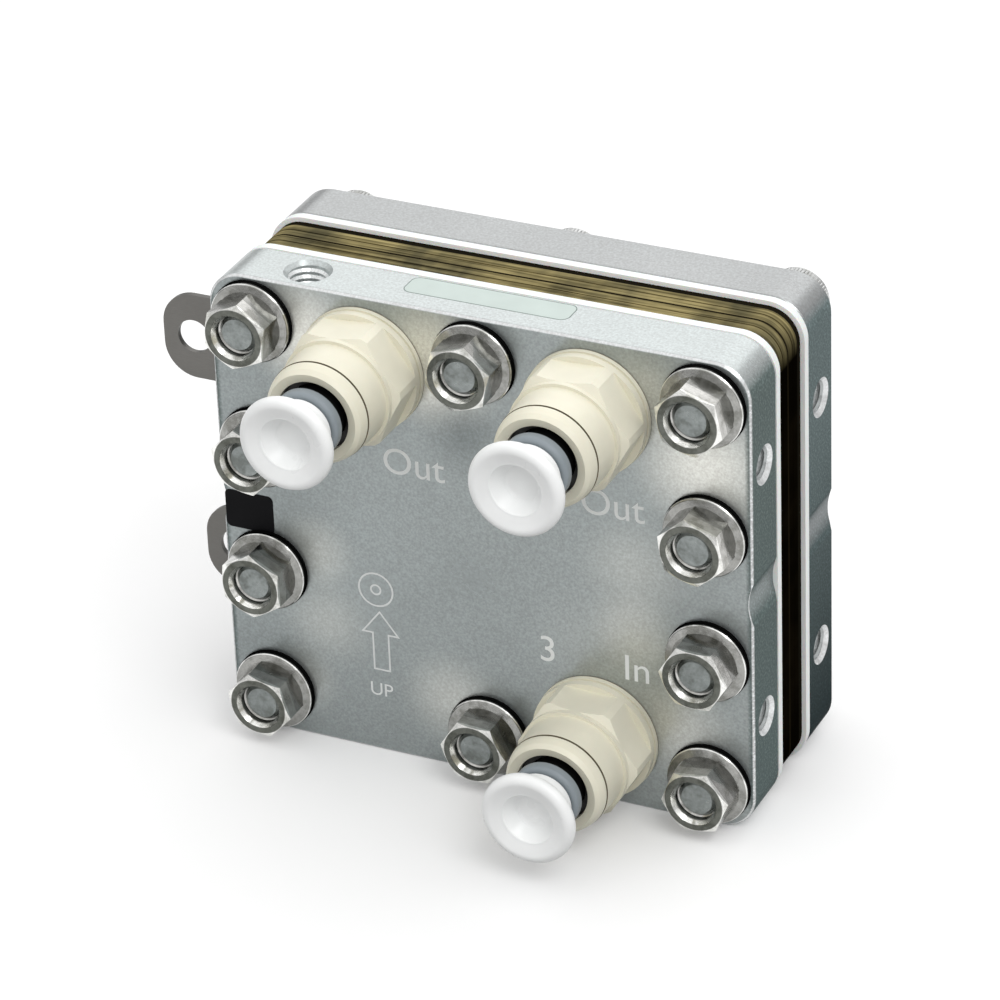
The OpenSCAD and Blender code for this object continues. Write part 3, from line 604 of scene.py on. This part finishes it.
def knurled_heads():
    first = knurl_ring()
    rows = [BOLT_TOP - row*BOLT_PITCH for row in range(4)]
    places = [(x, z) for x in (-BOLT_X, BOLT_X) for z in rows] + [(0, rows[0]), (0, rows[-1])]
    middle = heads_high.y - (KNURL_START + KNURL_END)/2
    for number, (x, z) in enumerate(places, 1):
        piece = copy_of(first)
        piece.location = (x, middle, z)
        finish_piece(piece, f"head_knurl_{number}", screw_steel)
    bpy.data.objects.remove(first)


# The film label on the top face and the black sticker on the front face, both left bare
LABEL_W, LABEL_H, LABEL_T, LABEL_R = 36.8*MM, 6.9*MM, 0.02*MM, 2.0*MM
LABEL_X, LABEL_BACK = -0.2*MM, 0.75*MM
LABEL_LINE, LABEL_EDGE_T = 0.22*MM, LABEL_T*0.6
STICKER_X, STICKER_W, STICKER_H, STICKER_R = -59.3*MM, 11.2*MM, 8.9*MM, 1.2*MM
STICKER_UNDER, STICKER_T = 1.7*MM, 0.08*MM


def rounded_film(width, height, thick, corner):
    """A thin film lying in XY with rounded corners, its back at z = 0."""
    bpy.ops.mesh.primitive_plane_add(size=1)
    film_piece = bpy.context.object
    film_piece.scale = (width, height, 1)
    settle(film_piece)
    in_edit(film_piece, (bpy.ops.mesh.bevel, {"offset": corner, "segments": 8, "affect": "VERTICES"}))
    with_modifier(film_piece, "SOLIDIFY", thickness=thick, offset=1)
    return film_piece


def top_label():
    base = rounded_film(LABEL_W, LABEL_H, LABEL_EDGE_T, LABEL_R)
    face = rounded_film(LABEL_W - 2*LABEL_LINE, LABEL_H - 2*LABEL_LINE, LABEL_T, LABEL_R - LABEL_LINE)
    middle = plate_high.y - LABEL_BACK - LABEL_H/2
    for piece, name, finish in ((base, "label_edge", label_edge), (face, "label", mint)):
        piece.location = (LABEL_X, middle, TOP)
        finish_piece(piece, name, finish)


def front_sticker():
    piece = rounded_film(STICKER_W, STICKER_H, STICKER_T, STICKER_R)
    piece.rotation_euler = (math.pi/2, 0, 0)
    piece.location = (STICKER_X + STICKER_W/2, FRONT, MID_Z - STICKER_UNDER)
    finish_piece(piece, "front_sticker", sticker_black)


# Light marks etched in the front face: places from the plate's middle, heights of capitals, line widths
MARK_PROUD = 0.02*MM
CAP_SHARE = 0.73
PORT_CAP, SMALL_CAP = 6.3*MM, 3.3*MM
WORDS = (
    ("1", -34*MM, 15.5*MM, PORT_CAP), ("Out", -22*MM, 14.4*MM, PORT_CAP),
    ("2", 11*MM, 15.5*MM, PORT_CAP), ("Out", 22.4*MM, 14.2*MM, PORT_CAP),
    ("3", 12*MM, -23*MM, PORT_CAP), ("In", 30.9*MM, -23.4*MM, PORT_CAP),
    ("UP", -27.6*MM, -40.4*MM, SMALL_CAP),
)
RING_AT, RING_R, RING_LINE = (-25*MM, -14.5*MM), 4.1*MM, 0.42*MM
RING_CENTRE_R = RING_R*0.32
ARROW_X, ARROW_FOOT = -24.4*MM, -34.1*MM
STEM_W, STEM_H, HEAD_W, HEAD_H = 4.0*MM, 8.8*MM, 9.0*MM, 5.8*MM
ARROW_LINE = 0.38*MM


def place_mark(obj, name, x, z):
    """Stand a flat mark that lies in XY on the front face."""
    obj.rotation_euler = (math.pi/2, 0, 0)
    obj.location = (x, FRONT - MARK_PROUD/2, MID_Z + z)
    finish_piece(obj, name, etched)


def word_marks():
    for number, (word, x, z, cap) in enumerate(WORDS, 1):
        bpy.ops.object.text_add()
        mark = bpy.context.object
        mark.data.body = word
        mark.data.size = cap/CAP_SHARE
        mark.data.extrude = MARK_PROUD/2
        mark.data.resolution_u = 6
        selected_only(mark)
        bpy.ops.object.convert(target="MESH")
        place_mark(bpy.context.object, f"word_mark_{number}", x, z)


def outline_of(obj, line):
    """Keep only a line's width along the rim of a flat face."""
    in_edit(obj, (bpy.ops.mesh.inset, {"thickness": line}), (bpy.ops.mesh.delete, {"type": "FACE"}))
    with_modifier(obj, "SOLIDIFY", thickness=MARK_PROUD, offset=0)


def ring_marks():
    for name, radius in (("ring_mark", RING_R), ("ring_centre", RING_CENTRE_R)):
        bpy.ops.mesh.primitive_circle_add(vertices=64, radius=radius, fill_type="NGON")
        ring = bpy.context.object
        outline_of(ring, RING_LINE)
        place_mark(ring, name, *RING_AT)


def arrow_mark():
    """An outlined arrow that points up: a face of seven corners, kept along its rim."""
    stem, head, tip = STEM_W/2, HEAD_W/2, STEM_H + HEAD_H
    corners = ((-stem, 0), (stem, 0), (stem, STEM_H), (head, STEM_H), (0, tip), (-head, STEM_H),
               (-stem, STEM_H))
    bpy.ops.mesh.primitive_circle_add(vertices=len(corners), fill_type="NGON")
    arrow = bpy.context.object
    for vertex, corner in zip(arrow.data.vertices, corners):
        vertex.co.xy = corner
    outline_of(arrow, ARROW_LINE)
    place_mark(arrow, "arrow_mark", ARROW_X, ARROW_FOOT)


side_threads()
top_thread()
knurled_heads()
top_label()
front_sticker()
word_marks()
ring_marks()
arrow_mark()


# Floor, light and camera
# The floor's grey for light that it sends back, its grey and its glow where it is seen, and its size
FLOOR_BOUNCE, FLOOR_GREY, FLOOR_LIFT = 0.35, 0.84, 0.15
FLOOR_SIZE = 12.0


def pale_floor():
    """White where the camera and reflections see it, duller where it lights the object, shadow kept."""
    material = bpy.data.materials.new("pale_floor")
    material.use_nodes = True
    tree = material.node_tree
    tree.nodes.clear()
    new, join = tree.nodes.new, tree.links.new
    path = new("ShaderNodeLightPath")
    seen = path.outputs["Is Camera Ray"]
    for ray in ("Is Glossy Ray", "Is Transmission Ray"):
        either = new("ShaderNodeMath")
        either.operation = "MAXIMUM"
        join(seen, either.inputs[0])
        join(path.outputs[ray], either.inputs[1])
        seen = either.outputs[0]
    matte, lift, total = new("ShaderNodeBsdfDiffuse"), new("ShaderNodeEmission"), new("ShaderNodeAddShader")
    join(mapped(tree, seen, (0.0, 1.0, FLOOR_BOUNCE, FLOOR_GREY)).outputs[0], matte.inputs["Color"])
    join(mapped(tree, seen, (0.0, 1.0, 0.0, FLOOR_LIFT)).outputs[0], lift.inputs["Strength"])
    join(matte.outputs[0], total.inputs[0])
    join(lift.outputs[0], total.inputs[1])
    join(total.outputs[0], new("ShaderNodeOutputMaterial").inputs[0])
    return material


def make_floor():
    bpy.ops.mesh.primitive_plane_add(size=FLOOR_SIZE, location=(0, 0, 0))
    floor = bpy.context.object
    floor.name = "floor"
    floor.data.materials.append(pale_floor())


def area_light(name, place, aim, size, watts):
    data = bpy.data.lights.new(name, "AREA")
    data.shape = "RECTANGLE"
    data.size, data.size_y = size
    data.energy = watts
    lamp = bpy.data.objects.new(name, data)
    bpy.context.scene.collection.objects.link(lamp)
    lamp.location = place
    lamp.rotation_euler = (Vector(place) - Vector(aim)).to_track_quat("Z", "Y").to_euler()


# The dome of light: its level at the horizon before and behind the object and overhead, its gain to the
# right, how far before and behind the horizon's level changes, and the height from which it is overhead
HORIZON_FRONT, HORIZON_BACK, OVERHEAD, GAIN_RIGHT = 0.62, 0.35, 1.05, 0.04
HORIZON_REACH, OVERHEAD_FROM = 0.4, 0.75


def make_world():
    """A dome of soft light, dimmer behind the object and a little brighter to its right."""
    world = bpy.data.worlds.new("soft_studio")
    bpy.context.scene.world = world
    world.use_nodes = True
    tree = world.node_tree
    split = tree.nodes.new("ShaderNodeSeparateXYZ")
    tree.links.new(tree.nodes.new("ShaderNodeTexCoord").outputs["Generated"], split.inputs[0])
    horizon = mapped(tree, split.outputs["Y"],
                     (-HORIZON_REACH, HORIZON_REACH, HORIZON_FRONT, HORIZON_BACK))
    rise = mapped(tree, split.outputs["Z"], (0.0, OVERHEAD_FROM, HORIZON_FRONT, OVERHEAD), "SMOOTHSTEP")
    tree.links.new(horizon.outputs[0], rise.inputs["To Min"])
    level = tree.nodes.new("ShaderNodeMath")
    level.operation = "MULTIPLY_ADD"
    level.inputs[1].default_value = GAIN_RIGHT
    tree.links.new(split.outputs["X"], level.inputs[0])
    tree.links.new(rise.outputs[0], level.inputs[2])
    tree.links.new(level.outputs[0], tree.nodes["Background"].inputs["Color"])


# The camera's turn round the object, its height and its tilt, in radians
AZIMUTH, ELEVATION, TILT = 0.45493, 0.51529, -0.03908
# Its place from the middle of the front face: away from it, to its own right and up
CAMERA_AWAY, CAMERA_RIGHT, CAMERA_UP = 1011.45*MM, 3.696*MM, 10.593*MM
# Its sensor's width in mm, and its focal length in pixels of a picture this many pixels wide
SENSOR_W, FOCAL_PIXELS, PICTURE_PIXELS = 36, 4941.1, 1000
NEAREST, FARTHEST = 0.05, 50


def make_camera():
    back = Vector((math.sin(AZIMUTH)*math.cos(ELEVATION), -math.cos(AZIMUTH)*math.cos(ELEVATION),
                   math.sin(ELEVATION)))
    level = Vector((math.cos(AZIMUTH), math.sin(AZIMUTH), 0))
    upright = back.cross(level)
    right = level*math.cos(TILT) + upright*math.sin(TILT)
    up = upright*math.cos(TILT) - level*math.sin(TILT)
    data = bpy.data.cameras.new("camera")
    data.sensor_width = SENSOR_W
    data.lens = FOCAL_PIXELS*SENSOR_W/PICTURE_PIXELS
    data.clip_start, data.clip_end = NEAREST, FARTHEST
    camera = bpy.data.objects.new("camera", data)
    bpy.context.scene.collection.objects.link(camera)
    at = Vector((0, FRONT, MID_Z)) + back*CAMERA_AWAY + right*CAMERA_RIGHT + up*CAMERA_UP
    camera.matrix_world = Matrix.Translation(at) @ Matrix((right, up, back)).transposed().to_4x4()
    bpy.context.scene.camera = camera


bpy.context.scene.view_settings.view_transform = "Standard"
make_world()
make_floor()
area_light("key_from_behind", (-0.15, 1.0, 0.75), aim=(0, 0.01, MID_Z), size=(1.3, 0.7), watts=2.0)
area_light("soft_from_upper_right", (0.55, -0.45, 0.85), aim=(0, 0, MID_Z), size=(0.5, 0.5), watts=3.0)
make_camera()
